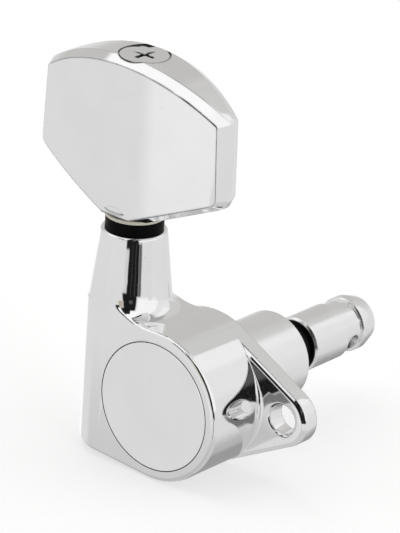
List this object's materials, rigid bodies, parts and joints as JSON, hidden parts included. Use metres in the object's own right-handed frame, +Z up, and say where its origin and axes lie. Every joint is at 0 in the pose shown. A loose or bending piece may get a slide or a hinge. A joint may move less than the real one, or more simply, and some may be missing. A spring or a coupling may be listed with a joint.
{
  "type": "guitar tuning machine",
  "caption": "Enclosed worm-gear tuning machine for a guitar headstock: chromed gear case with screw ear, wide metal button and a string post with a cross hole.",
  "frame": {"origin": "on the string post's axis, at the face of the case that rests on the back of the headstock", "axes": "+Y along the string post, away from the case; +Z up the worm shaft towards the button; +X towards the screw ear"},
  "size_m": [0.0339, 0.0334, 0.0434],
  "materials": {
    "chrome_case": "polished",
    "chrome_cover": "satin polished",
    "chrome_button": "polished",
    "chrome_screw": "polished",
    "chrome_post": "turned and plated",
    "steel_shaft": "machined",
    "dark_steel": "oiled",
    "black_plastic": "moulded",
    "cream_nylon": "moulded",
    "bronze": "sintered",
    "brass": "hobbed"
  },
  "bodies": {
    "case": {"housing": "chrome_case", "gear_cover": "chrome_cover", "worm_bush": "black_plastic", "lower_bush": "black_plastic", "thrust_shim": "dark_steel", "post_sleeve": "bronze", "friction_washer": "cream_nylon", "nylon_washer": "cream_nylon"},
    "worm": {"worm_shaft": "steel_shaft", "button": "chrome_button", "button_screw": "chrome_screw", "spring_washer": "dark_steel"},
    "post": {"string_post": "chrome_post", "worm_wheel": "brass", "wheel_screw": "steel_shaft", "wheel_washer": "dark_steel"}
  },
  "joints": [
    {"name": "worm_turn", "type": "hinge", "parent": "case", "child": "worm", "pos_m": [-0.00746, -0.00487, 0], "axis": [0, 0, 1], "continuous": true},
    {"name": "post_turn", "type": "hinge", "parent": "case", "child": "post", "pos_m": [0, 0, 0], "axis": [0, 1, 0], "continuous": true}
  ],
  "couplings": [
    {"joint": "post_turn", "follows": "worm_turn", "ratio": -0.0625}
  ]
}
